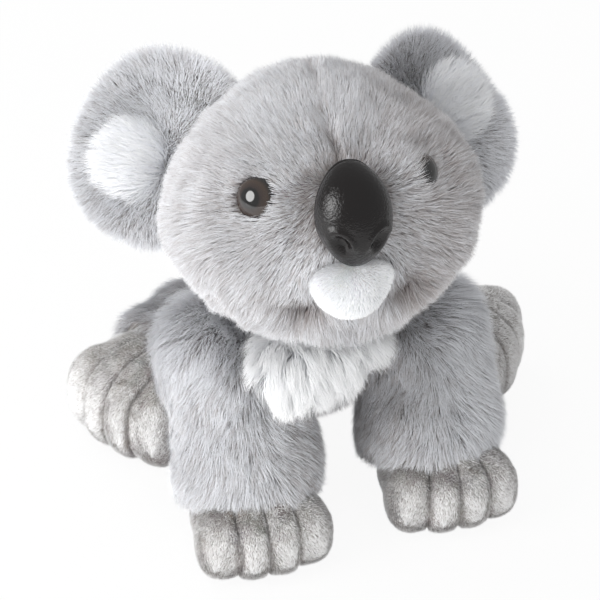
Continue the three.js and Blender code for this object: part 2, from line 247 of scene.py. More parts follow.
# Knitted backing: the jersey that the pile is locked into. Its loops are 0.8 mm apart, and between
# the strands it gives a dull, slightly cloudy ground.
def knitted_backing(name, ground, loop):
    material, tree, shader = new_material(name)
    loops_per_metre, clouds_per_metre = 1250, 90
    place = add(tree, "ShaderNodeTexCoord").outputs["Object"]
    loops = add(tree, "ShaderNodeTexVoronoi", {}, {"Vector": place, "Scale": loops_per_metre})
    cloudy = add(tree, "ShaderNodeTexNoise", {}, {"Vector": place, "Scale": clouds_per_metre, "Detail": 3})
    shade = add(tree, "ShaderNodeValToRGB", {}, {"Fac": loops.outputs["Distance"]})
    shade.color_ramp.elements[0].color = linear(loop)
    shade.color_ramp.elements[1].color = linear(ground)
    mixed = add(tree, "ShaderNodeMix", {"data_type": "RGBA", "blend_type": "MULTIPLY"},
                {0: 0.35, 6: shade.outputs["Color"], 7: cloudy.outputs["Color"]})
    tree.links.new(mixed.outputs[2], shader.inputs["Base Color"])
    bump = add(tree, "ShaderNodeBump", {},
               {"Strength": 0.5, "Distance": 0.0003, "Height": loops.outputs["Distance"]})
    tree.links.new(bump.outputs["Normal"], shader.inputs["Normal"])
    shader.inputs["Roughness"].default_value = 0.95
    shader.inputs["Sheen Weight"].default_value = 0.2
    return material


# Cut pile: each strand is dull polyester, paler at its tip and dark where it leaves the backing, partly
# its own colour and partly painted shade deep in the pile. It is coloured along itself and, across the
# piece, from the greyer strands to the paler ones, a share that the skins also use for painted shade and light.
def cut_pile(name, root, darker, paler, tips):
    material, tree, shader = new_material(name)
    strand = add(tree, "ShaderNodeSeparateXYZ", {},
                 {"Vector": add(tree, "ShaderNodeUVMap", {"uv_map": "OFBake"}).outputs["UV"]})
    ramps = []
    for middle, tip in ((darker, tips[0]), (paler, tips[1])):
        ramp = add(tree, "ShaderNodeValToRGB", {}, {"Fac": strand.outputs["Y"]})
        stops = ramp.color_ramp.elements
        stops[0].color, stops[1].color = linear(root), linear(tip)
        stops.new(0.4).color = linear(middle)
        ramps.append(ramp.outputs["Color"])
    colour = add(tree, "ShaderNodeMix", {"data_type": "RGBA"},
                 {0: strand.outputs["X"], 6: ramps[0], 7: ramps[1]})
    tree.links.new(colour.outputs[2], shader.inputs["Base Color"])
    shader.inputs["Roughness"].default_value = 0.6
    shader.inputs["Specular IOR Level"].default_value = 0.35
    shader.inputs["Sheen Weight"].default_value = 0.25
    shader.inputs["Sheen Roughness"].default_value = 0.4
    return material


grey_backing = knitted_backing("Knitted polyester backing, grey", "aea8a4", "8a8380")
white_backing = knitted_backing("Knitted polyester backing, white", "f4f4f2", "dfdedb")
# Each pile's first colour is its root, darkened partly as painted shade deep in the pile.
grey_pile = cut_pile("Long cut pile, silver grey", "74696a", "a49b99", "e5e6ea", ("c2bdbc", "edeff2"))
paw_pile = cut_pile("Short cut pile, warm grey", "aca5a1", "bdb8b6", "fdfdfd", ("cccac8", "fefefe"))
white_pile = cut_pile("Long cut pile, white", "e9ebf0", "f4f6fb", "fdfeff", ("f7f9fe", "ffffff"))

# The cut pile itself, as nodes: bent, tapered blades scattered over a skin. They follow its comb, slow
# waves and a tangle, and their tips gather in tufts. A real fibre is some hundredths of a millimetre
# thick, too fine to show, so each blade is as wide as a small lock of fibres.
pile_tree = bpy.data.node_groups.new("Cut pile", "GeometryNodeTree")
tree = pile_tree
for kind, titles in (
    ("Geometry", ("Geometry",)),
    ("Float", ("Density", "Length", "Width", "Lean", "Wave", "Wave Size", "Tangle", "Tuft", "Tuft Size",
               "Mottle")),
    ("Int", ("Seed", "Joints")),
    ("Material", ("Material",)),
):
    for title in titles:
        tree.interface.new_socket(title, in_out="INPUT", socket_type=f"NodeSocket{kind}")
tree.interface.new_socket("Geometry", in_out="OUTPUT", socket_type="NodeSocketGeometry")
given = add(tree, "NodeGroupInput").outputs
shortest, longest = 0.78, 1.05   # of a strand, as shares of the pile's length
most_twist = 0.5                 # of a strand about itself, in radians
taper = 2.2                      # a higher power keeps a strand wide for longer
bow = 0.75                       # of a strand between its ends
fleck_contrast = 2.6             # of the slow light and dark patches
share = {
    title: add(tree, "GeometryNodeInputNamedAttribute", {"data_type": kind},
               {"Name": title}).outputs["Attribute"]
    for title, kind in (("thick", "FLOAT"), ("pile", "FLOAT"), ("tone", "FLOAT"), ("comb", "FLOAT_VECTOR"))
}
place = add(tree, "GeometryNodeInputPosition").outputs[0]
planted = add(tree, "GeometryNodeDistributePointsOnFaces", {"distribute_method": "RANDOM"}, {
    "Mesh": given["Geometry"], "Seed": given["Seed"],
    "Density": add(tree, "ShaderNodeMath", {"operation": "MULTIPLY"},
                   {0: given["Density"], 1: share["thick"]}).outputs[0],
})
ragged = add(tree, "FunctionNodeRandomValue", {"data_type": "FLOAT"},
             {2: shortest, 3: longest, "Seed": given["Seed"]})
length = add(tree, "ShaderNodeMath", {"operation": "MULTIPLY"}, {
    0: add(tree, "ShaderNodeMath", {"operation": "MULTIPLY"}, {0: given["Length"], 1: share["pile"]}).outputs[0],
    1: ragged.outputs[1],
}).outputs[0]
wave = add(tree, "ShaderNodeTexNoise", {}, {
    "Vector": place, "Detail": 1.0,
    "Scale": add(tree, "ShaderNodeMath", {"operation": "DIVIDE"}, {0: 1.0, 1: given["Wave Size"]}).outputs[0],
})
centred = add(tree, "ShaderNodeVectorMath", {"operation": "SUBTRACT"},
              {0: wave.outputs["Color"], 1: (0.5, 0.5, 0.5)})
tangle = add(tree, "FunctionNodeRandomValue", {"data_type": "FLOAT_VECTOR"},
             {0: (-1, -1, -1), 1: (1, 1, 1), "Seed": given["Seed"]})
tufts = add(tree, "ShaderNodeTexVoronoi", {}, {
    "Vector": place,
    "Scale": add(tree, "ShaderNodeMath", {"operation": "DIVIDE"}, {0: 1.0, 1: given["Tuft Size"]}).outputs[0],
})
inwards = add(tree, "ShaderNodeVectorMath", {"operation": "SUBTRACT"},
              {0: tufts.outputs["Position"], 1: place})
gather = add(tree, "ShaderNodeMath", {"operation": "DIVIDE"}, {0: given["Tuft"], 1: length})
heading = planted.outputs["Normal"]
for part, weight in ((share["comb"], given["Lean"]), (centred.outputs[0], given["Wave"]),
                     (tangle.outputs[0], given["Tangle"]), (inwards.outputs[0], gather.outputs[0])):
    scaled = add(tree, "ShaderNodeVectorMath", {"operation": "SCALE"}, {0: part, "Scale": weight})
    heading = add(tree, "ShaderNodeVectorMath", {"operation": "ADD"},
                  {0: heading, 1: scaled.outputs[0]}).outputs[0]
aimed = add(tree, "FunctionNodeAlignRotationToVector", {"axis": "Z"}, {"Vector": heading})
rolled = add(tree, "FunctionNodeAlignRotationToVector", {"axis": "Y", "pivot_axis": "Z"},
             {"Rotation": aimed.outputs[0], "Vector": planted.outputs["Normal"]})
twist = add(tree, "FunctionNodeRandomValue", {"data_type": "FLOAT"},
            {2: -most_twist, 3: most_twist, "Seed": given["Seed"]})
turned = add(tree, "FunctionNodeRotateRotation", {"rotation_space": "LOCAL"}, {
    "Rotation": rolled.outputs[0],
    "Rotate By": add(tree, "FunctionNodeAxisAngleToRotation", {},
                     {"Axis": (0, 0, 1), "Angle": twist.outputs[1]}).outputs[0],
})
strip = add(tree, "GeometryNodeMeshGrid", {},
            {"Size X": 1.0, "Size Y": 1.0, "Vertices X": 2, "Vertices Y": given["Joints"]})
flat = add(tree, "ShaderNodeSeparateXYZ", {}, {0: place})
along = add(tree, "ShaderNodeMath", {"operation": "ADD"}, {0: flat.outputs["Y"], 1: 0.5}).outputs[0]
marked = add(tree, "GeometryNodeStoreNamedAttribute", {"data_type": "FLOAT", "domain": "POINT"},
             {"Geometry": strip.outputs["Mesh"], "Name": "along", "Value": along})
narrow = add(tree, "ShaderNodeMath", {"operation": "SUBTRACT"}, {
    0: 1.0, 1: add(tree, "ShaderNodeMath", {"operation": "POWER"}, {0: along, 1: taper}).outputs[0]})
across = add(tree, "ShaderNodeMath", {"operation": "MULTIPLY"}, {
    0: add(tree, "ShaderNodeMath", {"operation": "MULTIPLY"}, {0: flat.outputs["X"], 1: -1.0}).outputs[0],
    1: narrow.outputs[0]})
bend = add(tree, "ShaderNodeMath", {"operation": "MULTIPLY"}, {
    0: add(tree, "ShaderNodeMath", {"operation": "MULTIPLY"}, {
        0: along,
        1: add(tree, "ShaderNodeMath", {"operation": "SUBTRACT"}, {0: 1.0, 1: along}).outputs[0],
    }).outputs[0],
    1: bow})
blade = add(tree, "GeometryNodeMergeByDistance", {}, {
    "Distance": 0.001,
    "Geometry": add(tree, "GeometryNodeSetPosition", {}, {
        "Geometry": marked.outputs[0],
        "Position": add(tree, "ShaderNodeCombineXYZ", {},
                        {"X": across.outputs[0], "Y": bend.outputs[0], "Z": along}).outputs[0],
    }).outputs[0],
})
strands = add(tree, "GeometryNodeInstanceOnPoints", {}, {
    "Points": planted.outputs["Points"],
    "Instance": add(tree, "GeometryNodeSetShadeSmooth", {}, {"Geometry": blade.outputs[0]}).outputs[0],
    "Rotation": turned.outputs[0],
    "Scale": add(tree, "ShaderNodeCombineXYZ", {}, {"X": given["Width"], "Y": length, "Z": length}).outputs[0],
})
speckle = add(tree, "FunctionNodeRandomValue", {"data_type": "FLOAT"},
              {2: -1.0, 3: 1.0, "Seed": given["Seed"]})
flecks = add(tree, "ShaderNodeTexNoise", {}, {"Vector": place, "Scale": 0.75, "Detail": 0.0})
fleck = add(tree, "ShaderNodeMath", {"operation": "MULTIPLY_ADD"},
            {0: flecks.outputs["Fac"], 1: fleck_contrast, 2: -fleck_contrast / 2})
streak = add(tree, "ShaderNodeMath", {"operation": "MULTIPLY_ADD"},
             {0: speckle.outputs[1], 1: 0.5, 2: fleck.outputs[0]})
shaded = add(tree, "ShaderNodeMath", {"operation": "MULTIPLY_ADD", "use_clamp": True},
             {0: streak.outputs[0], 1: given["Mottle"], 2: share["tone"]})
toned = add(tree, "GeometryNodeStoreNamedAttribute", {"data_type": "FLOAT", "domain": "INSTANCE"},
            {"Geometry": strands.outputs[0], "Name": "shade", "Value": shaded.outputs[0]})
real = add(tree, "GeometryNodeRealizeInstances", {}, {"Geometry": toned.outputs[0]})
strand_place = [
    add(tree, "GeometryNodeInputNamedAttribute", {"data_type": "FLOAT"}, {"Name": title}).outputs["Attribute"]
    for title in ("shade", "along")
]
charted = add(tree, "GeometryNodeStoreNamedAttribute", {"data_type": "FLOAT2", "domain": "CORNER"}, {
    "Geometry": real.outputs[0], "Name": "OFBake",
    "Value": add(tree, "ShaderNodeCombineXYZ", {}, {"X": strand_place[0], "Y": strand_place[1]}).outputs[0],
})
dyed = add(tree, "GeometryNodeSetMaterial", {},
           {"Geometry": charted.outputs[0], "Material": given["Material"]})
add(tree, "NodeGroupOutput", {}, {"Geometry": dyed.outputs[0]})

joints = {joint["name"]: Vector(joint["pos_m"]) * 1000 for joint in frame["joints"]}
neck_middle = (0, 28, 97)
shift = joints["neck_turn"] - Vector(neck_middle)
to_metres = Matrix.Scale(0.001, 4)
toy_place = to_metres @ Matrix.Translation(shift)


def comb_skin(skin, pile, comb, tone, thick=1.0):
    """Writes on a skin how long its pile is, which way it lies, how pale it is and where it grows."""
    count = len(skin.data.vertices)
    for title, values in (("pile", pile), ("tone", tone), ("thick", thick)):
        stored = skin.data.attributes.new(title, "FLOAT", "POINT")
        stored.data.foreach_set("value", np.broadcast_to(values, count).astype(np.float32))
    stored = skin.data.attributes.new("comb", "FLOAT_VECTOR", "POINT")
    normals = normals_of(skin.data)
    lying = comb - normals * (comb * normals).sum(axis=1)[:, None]
    lying = unit(lying) * np.linalg.norm(comb, axis=1)[:, None]
    stored.data.foreach_set("vector", lying.astype(np.float32).ravel())


def grow_pile(name, skin, place, body, material, seed, density, long, where=None, width=0.34,
              lean=1.0, wave=0.8, wave_size=14.0, tangle=0.24, tuft=0.3, tuft_size=4.0, mottle=0.6, joints=3):
    """Grows cut pile on a skin, drawn in millimetres, and sews it to a body in metres."""
    bed = new_object(name, skin.data.copy())
    if where is not None:
        thick = np.empty(len(where), np.float32)
        bed.data.attributes["thick"].data.foreach_get("value", thick)
        bed.data.attributes["thick"].data.foreach_set("value", (thick * where).astype(np.float32))
    modifier = bed.modifiers.new("Cut pile", "NODES")
    modifier.node_group = pile_tree
    asked = {"Density": density, "Length": long, "Width": width, "Lean": lean, "Wave": wave,
             "Wave Size": wave_size, "Tangle": tangle, "Tuft": tuft, "Tuft Size": tuft_size, "Mottle": mottle,
             "Seed": seed, "Joints": joints, "Material": material}
    for item in pile_tree.interface.items_tree:
        if item.in_out == "INPUT" and item.name in asked:
            modifier[item.identifier] = asked[item.name]
    grown = bpy.data.meshes.new_from_object(bed.evaluated_get(bpy.context.evaluated_depsgraph_get()))
    bed.modifiers.clear()
    bed.data = grown
    for title in ("thick", "pile", "tone", "comb", "shade", "along"):
        if title in grown.attributes:
            grown.attributes.remove(grown.attributes[title])
    grown.transform(place)
    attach(bed, body)
    return bed


def finish_skin(skin, place, body, material, nodes):
    """Places a finished skin in metres, with its body, its backing and the nodes that it stands for."""
    skin.data.transform(place)
    skin.data.materials.clear()
    skin.data.materials.append(material)
    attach(skin, body)
    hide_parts(*nodes)


long_pile = 10.5     # mm, from the skin to the tips
skin_depth = 7.5     # how far a skin lies inside its solid, whose outside is at the pile's tips
sole_press = 0.5     # how deep a form is pressed flat where it rests
body_spine = [(0, -30, 88), (0, 24, 80), (5, 80, 52), (6, 126, 44)]
body_points, body_faces = stuffed_form(body_spine, [30, 39, 46, 43], [22, 31, 50, 42], 2.4)
body_lift = np.array((0, 0, -sole_press - min(p[2] for p in body_points)))
body_skin = sewn_skin("body_skin", [([p + body_lift for p in body_points], body_faces)], 2.6, 2)
push(body_skin.data, -skin_depth)
points = points_of(body_skin.data)
push(body_skin.data, 1.4 * lumps(points, 26))
flanks = near(points, (-38, 14, 92), (20, 28, 22)) + near(points, (38, 14, 92), (20, 28, 22))
push(body_skin.data, 13 * flanks)
points = points_of(body_skin.data)
seats = [(name, Vector(joints[name]) - shift, radius) for name, radius in (
    ("right_shoulder", 33), ("left_shoulder", 33), ("right_hip", 29), ("left_hip", 29))]
for _, centre, radius in seats:
    away = points - np.array(centre)
    far = np.linalg.norm(away, axis=1)
    dent = radius - 6
    pressed = far < dent
    points[pressed] += (unit(away) * (dent - far)[:, None])[pressed]
sag = step(points[:, 2], 74, 52) * step(points[:, 1], -24, 0) * step(points[:, 1], 66, 40)
sag *= step(np.abs(points[:, 0]), 30, 16)
points[:, 2] -= 11 * sag
points[:, 2] = np.maximum(points[:, 2], 2.2)
set_points(body_skin.data, points)
hidden = np.zeros(len(points), bool)
for _, centre, radius in seats:
    hidden |= np.linalg.norm(points - np.array(centre), axis=1) < radius - 4.5
back = np.array((0.0, 1.0, -0.25))
down = np.array((0, 0, -1.0)) * step(np.abs(points[:, 0]), 8, 34)[:, None]
comb = np.broadcast_to(back, points.shape) + down
# The pile on the belly, low between the legs, is painted darker, as shade under the body.
belly = step(points[:, 2], 34, 12)
comb_skin(body_skin, pile=1 - 0.55 * belly + 0.5 * sag, comb=unit(comb) * 0.9,
          tone=0.68 - 0.4 * belly, thick=np.where(hidden, 0.0, 1.0))
for half, sign in (("front", -1), ("back", 1)):
    grow_pile(f"body_fur_{half}", body_skin, toy_place, "body", grey_pile, 11 + sign,
              2.7, long_pile, where=(points[:, 1] * sign > 45 * sign).astype(float))
finish_skin(body_skin, toy_place, "body", grey_backing, ("body_cover", "body_filling"))

# The neck is a firm ball of the same plush, sewn between the body and the head, which turns on it.
# Only a ring of its short pile shows, when the head looks up or round.
neck_skin = sewn_skin("neck_skin", [lobe(neck_middle, (20, 20, 20))], 2.6, 1)
neck_points = points_of(neck_skin.data)
comb_skin(neck_skin, 1.0, np.broadcast_to(np.array((0, 0, -0.8)), neck_points.shape), 0.4)
grow_pile("neck_fur", neck_skin, toy_place, "neck", grey_pile, 21, 1.4, 3.0, width=0.4)
finish_skin(neck_skin, toy_place, "neck", grey_backing, ("neck_filling",))

# The head is a wide stuffed ball with a muzzle. A seam is drawn in from the nose to the crown, the
# eyes' locks pull the cloth in round them, and the smile is a crease with a stitched pit at each end.
# Its pile lies away from the nose on every side.
head_place = to_metres @ Matrix.Translation(shift + Vector((-6, 0, 151))) @ (
    Matrix.Rotation(math.radians(-4), 4, "Z") @ Matrix.Rotation(math.radians(-2), 4, "Y")
    @ Matrix.Rotation(math.radians(-24), 4, "X")
)
head_skin = sewn_skin("head_skin", [
    stuffed_form([(0, -3, -63), (0, -3, -21), (0, 3, 21), (0, 3, 63)], [50, 69, 66, 54], [44, 61, 61, 50], 2.1),
    lobe((0, -42, -12), (34, 24, 28)),
], 2.6, 6)
push(head_skin.data, -8)
points = points_of(head_skin.data)
nose_centre = np.array((0, -67, 3.0))
chin_centre = np.array((-1.5, -61, -28))
eye_places = {"right": (-37, -46.6, 11.2), "left": (38, -46, 12.5)}
seam_crease = np.exp(-((points[:, 0] - 1.4 * np.sin(points[:, 2] / 8)) / 2.6) ** 2) * step(points[:, 1], 12, -22)
seam_crease *= step(points[:, 2], 14, 24) * (0.55 + 0.45 * np.cos(points[:, 2] / 5.5 - 4.5))
sockets = sum(near(points, place, (12, 12, 12)) for place in eye_places.values())
cheeks = near(points, (-44, -32, -30), 24) + near(points, (44, -32, -30), 24)
aside = np.abs(points[:, 0])
smile_crease = np.exp(-((points[:, 2] + 33 - 0.55 * (aside - 20)) / 3.2) ** 2)
smile_crease = smile_crease * step(aside, 15, 19) * step(aside, 36, 24) * (points[:, 1] < -20)
mouth_corners = ((-17, -41, -36), (23, -40, -32))
corner_pits = sum(near(points, corner, (5, 7, 5)) for corner in mouth_corners)
ridges = 0.4 * near(points, (-27, -54, 13), (8, 12, 13)) + near(points, (28, -54, 13), (8, 12, 13))
push(head_skin.data, -2.2 * seam_crease - 3.6 * sockets + 2.5 * cheeks - 1.3 * smile_crease - 6.0 * corner_pits + 2.8 * ridges
     + 1.5 * lumps(points, 22) * step(points[:, 2], 50, 10))
points = points_of(head_skin.data)
from_nose = points - nose_centre
reach = np.linalg.norm(from_nose, axis=1)
eye_gap = np.min([np.linalg.norm(points - np.array(p), axis=1) for p in eye_places.values()], axis=0)
pile = 0.45 + 0.55 * step(reach, 22, 62) + 0.35 * step(points[:, 2], -24, -42)
beyond_eye = step(np.abs(points[:, 0]), 36, 42)
pile *= 1 - 0.5 * beyond_eye * step(eye_gap, 20, 10)
pile += ridges * 0.35 * (points[:, 0] > 0)
pile *= 1 - 0.3 * near(points, (-29, -53, 12), (8, 10, 10))
pile *= (1 - 0.2 * step(points[:, 2], 20, 55)) * (1 - 0.3 * smile_crease) * (1 - 0.45 * corner_pits)
parted = np.sign(points[:, 0])[:, None] * np.array((1.0, 0, 0)) * (1.3 * seam_crease)[:, None]
comb = unit(from_nose) + parted + np.array((0, 0.2, -0.5)) * step(points[:, 2], 10, -30)[:, None]
for corner in mouth_corners:
    round_corner = near(points, corner, (12, 12, 12))[:, None]
    comb = comb * (1 - round_corner) + 1.1 * unit(points - np.array(corner)) * round_corner
nose_room = np.array((15, 20, 20))
beside = step(np.linalg.norm(from_nose / nose_room, axis=1), 1.7, 1.05) * step(points[:, 2], -14, -2)
comb += np.array((0, 0, -0.7)) * beside[:, None]
eye_edge = 10.4 - 0.5 * beyond_eye - 2.8 * (points[:, 0] > 0)
bare = (eye_gap < eye_edge) | (((from_nose / nose_room) ** 2).sum(axis=1) < 1)
bare |= (((points - chin_centre) / np.array((20, 14, 12.5))) ** 2).sum(axis=1) < 1
bare |= corner_pits > 0.4
to_millimetres = Matrix.Scale(1000, 4)
neck_in_toy = to_millimetres @ toy_place @ Vector(neck_middle)
neck_centre = np.array((to_millimetres @ head_place).inverted() @ neck_in_toy)
bare |= np.linalg.norm(points - neck_centre, axis=1) < 22
# The pile is painted darker as shade on the head's left side, which is turned from the main lamp, along the seam
# and the smile crease, in the pits at the mouth's corners and beside the nose. It is also a little darker on the
# outer right cheek and toward the bottom, and paler on the ridges between the eyes and the nose.
tone = 0.72 - 0.5 * seam_crease - 0.25 * smile_crease - 1.2 * corner_pits + 0.2 * ridges - 0.15 * step(points[:, 2], -10, -45)
tone -= 0.4 * step(points[:, 0], 8, 36) + 0.15 * step(points[:, 0], -22, -45) + 0.5 * beside
comb_skin(head_skin, pile, comb * 0.95, np.clip(tone, 0, 1), np.where(bare, 0.0, 1.0))
quarters = {
    "face_right": (points[:, 1] < -8) & (points[:, 0] < 0),
    "face_left": (points[:, 1] < -8) & (points[:, 0] >= 0),
    "side_right": (points[:, 1] >= -8) & (points[:, 1] < 16) & (points[:, 0] < 0),
    "side_left": (points[:, 1] >= -8) & (points[:, 1] < 16) & (points[:, 0] >= 0),
    "nape": points[:, 1] >= 16,
}
for seed, (quarter, where) in enumerate(quarters.items()):
    grow_pile(f"head_fur_{quarter}", head_skin, head_place, "head", grey_pile, 30 + seed,
              4.2, long_pile, where=where.astype(float), width=0.26, tuft_size=3.4, tuft=0.2, tangle=0.22, lean=1.1,
              wave=1.7, wave_size=11)
finish_skin(head_skin, head_place, "head", grey_backing, ("head_cover", "head_filling"))

# Eyes are moulded safety eyes: a clear-lacquered dome 18 mm across with a black pupil in a dark
# brown iris, on a shank with a lock behind the cloth. They sit in the sockets, under the pile's tips.
eye_dome, tree, shader = new_material("Moulded ABS, lacquered, brown iris")
ring = add(tree, "ShaderNodeAttribute", {"attribute_name": "ring"}).outputs["Fac"]
streaks = add(tree, "ShaderNodeTexNoise", {}, {
    "Vector": add(tree, "ShaderNodeTexCoord").outputs["Object"], "Scale": 700, "Detail": 2})
blurred = add(tree, "ShaderNodeMath", {"operation": "MULTIPLY_ADD"},
              {0: streaks.outputs["Fac"], 1: 0.06, 2: ring})
painted = add(tree, "ShaderNodeValToRGB", {}, {"Fac": blurred.outputs[0]})
stops = painted.color_ramp.elements
stops[0].color, stops[1].color = linear("030202"), linear("080606")
for at, code in ((0.46, "030202"), (0.52, "241a18"), (0.78, "35281f"), (0.90, "0d0908")):
    stops.new(at).color = linear(code)
tree.links.new(painted.outputs["Color"], shader.inputs["Base Color"])
shader.inputs["Roughness"].default_value = 0.06
shader.inputs["Specular IOR Level"].default_value = 0.95


def facing(place, direction):
    """A frame at a place whose +Z points along a direction."""
    turn = Vector((0, 0, 1)).rotation_difference(Vector(direction))
    return Matrix.Translation(place) @ turn.to_matrix().to_4x4()


def turned_piece(name, profile, sides=64):
    """A turned piece from its profile, which runs from the axis at the back round to the axis in front."""
    shell = bmesh.new()
    rings = [[shell.verts.new((radius * math.cos(a), radius * math.sin(a), height))
              for a in (2 * math.pi * i / sides for i in range(sides))] for radius, height in profile[1:-1]]
    back, front = (shell.verts.new((0, 0, profile[i][1])) for i in (0, -1))
    for i in range(sides):
        j = (i + 1) % sides
        shell.faces.new((back, rings[0][j], rings[0][i]))
        for lower, upper in zip(rings, rings[1:]):
            shell.faces.new((lower[i], lower[j], upper[j], upper[i]))
        shell.faces.new((front, rings[-1][i], rings[-1][j]))
    mesh = bpy.data.meshes.new(name)
    shell.to_mesh(mesh)
    shell.free()
    mesh.shade_smooth()
    return new_object(name, mesh)


eye_radius, dome_height, flange_radius = 9, 6.5, 9.25
for side_name, side in (("right", -1), ("left", 1)):
    outward = Matrix.Rotation(side * math.radians(40), 3, "Z")
    gaze = outward @ Matrix.Rotation(math.radians(82), 3, "X") @ Vector((0, 0, 1))
    dome = [(eye_radius * math.cos(a), dome_height * math.sin(a) - dome_height)
            for a in np.linspace(0, math.pi / 2, 24)]
    eye = turned_piece(f"{side_name}_eye_dome", [
        (0, -16), (2.4, -16), (2.5, -8.5), (8.4, -7.7), (9.0, -7.5),
        (flange_radius, -7.1), (flange_radius, -6.7), *dome[:-1], (0, 0)])
    radii = np.linalg.norm(points_of(eye.data)[:, :2], axis=1) / flange_radius
    stored = eye.data.attributes.new("ring", "FLOAT", "POINT")
    stored.data.foreach_set("value", radii.astype(np.float32))
    eye.data.transform(head_place @ facing(eye_places[side_name], gaze))
    eye.data.materials.append(eye_dome)
    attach(eye, "head")
    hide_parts(f"{side_name}_eye")

# The nose is one hollow moulding in dark brown-black plastic with a fine leather grain. It has a
# thin flange round its back edge, two slanted nostrils with raised lips, and a shank and lock.
nose_plastic, tree, shader = new_material("Moulded ABS, leather grain, brown-black")
place = add(tree, "ShaderNodeTexCoord").outputs["Object"]
grain = add(tree, "ShaderNodeTexVoronoi", {"feature": "SMOOTH_F1"}, {"Vector": place, "Scale": 1100})
fine_grain = add(tree, "ShaderNodeTexNoise", {}, {"Vector": place, "Scale": 1900, "Detail": 2})
relief = add(tree, "ShaderNodeMath", {"operation": "ADD"},
             {0: grain.outputs["Distance"], 1: fine_grain.outputs["Fac"]})
bump = add(tree, "ShaderNodeBump", {}, {"Strength": 0.5, "Distance": 0.0003, "Height": relief.outputs[0]})
tree.links.new(bump.outputs["Normal"], shader.inputs["Normal"])
cloud = add(tree, "ShaderNodeTexNoise", {}, {"Vector": place, "Scale": 60, "Detail": 2})
tint = add(tree, "ShaderNodeValToRGB", {}, {"Fac": cloud.outputs["Fac"]})
tint.color_ramp.elements[0].color = linear("060303")
tint.color_ramp.elements[1].color = linear("0d0808")
tree.links.new(tint.outputs["Color"], shader.inputs["Base Color"])
shader.inputs["Roughness"].default_value = 0.13
shader.inputs["Specular IOR Level"].default_value = 0.5

mesh = bpy.data.meshes.new("nose_moulding")
nose_points, nose_faces = stuffed_form([(0, 3, 20.8), (0, 0, 6.93), (0, 0, -6.93), (0, 3, -20.8)],
                                       [11.5, 14.7, 15, 11.3], [8, 12, 12, 8], 2.3, rings=96, sides=128)
mesh.from_pydata(nose_points, [], nose_faces)
nose = new_object("nose_moulding", mesh)
mesh.shade_smooth()
points = points_of(mesh)
flange = step(points[:, 1], 1.4, 2.2) * 0.2 - 0.5 * np.exp(-((points[:, 1] - 1.0) / 0.5) ** 2)
dents = np.zeros(len(points))
for side in (-1, 1):
    c, s = math.cos(math.radians(35)), side * math.sin(math.radians(35))
    x, z = points[:, 0] - side * 7.5, points[:, 2] + 11
    across, upward = x * c - z * s, x * s + z * c
    spread = np.sqrt((across / 2.6) ** 2 + (upward / 4.6) ** 2)
    lip = np.exp(-((spread - 1.5) / 0.3) ** 2) * step(-side * across + 0.5 * upward, -1.5, 2.0)
    dents += (points[:, 1] < 0) * (0.9 * lip - 3.0 * step(spread, 1.3, 0.3))
push(mesh, flange + dents)
mesh.transform(head_place @ Matrix.Translation((0, -67, 3)))
mesh.materials.append(nose_plastic)
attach(nose, "head")
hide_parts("nose")

# Lock washers grip the shanks behind the cloth. They are moulded polypropylene, matt and milky.
lock_plastic, tree, shader = new_material("Moulded polypropylene, natural")
cloud = add(tree, "ShaderNodeTexNoise", {}, {
    "Vector": add(tree, "ShaderNodeTexCoord").outputs["Object"], "Scale": 250, "Detail": 3})
tint = add(tree, "ShaderNodeValToRGB", {}, {"Fac": cloud.outputs["Fac"]})
tint.color_ramp.elements[0].color = linear("dedbd0")
tint.color_ramp.elements[1].color = linear("eeece4")
tree.links.new(tint.outputs["Color"], shader.inputs["Base Color"])
bump = add(tree, "ShaderNodeBump", {}, {"Strength": 0.15, "Distance": 0.0002, "Height": cloud.outputs["Fac"]})
tree.links.new(bump.outputs["Normal"], shader.inputs["Normal"])
shader.inputs["Roughness"].default_value = 0.5
for node in ("nose_washer", "right_eye_washer", "left_eye_washer"):
    frame["nodes"][node].data.materials.clear()
    frame["nodes"][node].data.materials.append(lock_plastic)

# The chin is a small pad of dense white pile, widest just under the nose, stuffed and sewn on there.
# Its pile is short, so its edge is a clean line against the grey.
chin_skin = sewn_skin("chin_skin", [
    lobe(chin_centre + np.array((0, 0, 0.5)), (19, 10, 13.5), blunt=0.9)], 1.4, 4)
push(chin_skin.data, -2.3)
points = points_of(chin_skin.data)
aside = points[:, 0] - chin_centre[0]
points[:, 0] += aside * 0.024 * (points[:, 2] - chin_centre[2] - 2)
points[:, 2] += 0.05 * aside
set_points(chin_skin.data, points)
push(chin_skin.data, -3.4 * near(points, (14, -70, -26), (9, 9, 12)))
points = points_of(chin_skin.data)
under_nose = near(points, (0, -70, -18), (16, 9, 5))
push(chin_skin.data, -1.5 * under_nose)
points = points_of(chin_skin.data)
comb_skin(chin_skin, 1 - 0.3 * under_nose, unit(points - chin_centre - np.array((0, 0, 8))) * 1.0, 0.8)
grow_pile("chin_fur", chin_skin, head_place, "head", white_pile, 41, 8.0, 2.1, width=0.36,
          lean=1.6, wave=0.5, tangle=0.4, tuft=0.0, tuft_size=3.0, mottle=0.2, joints=2)
finish_skin(chin_skin, head_place, "head", white_backing, ("chin_pad",))

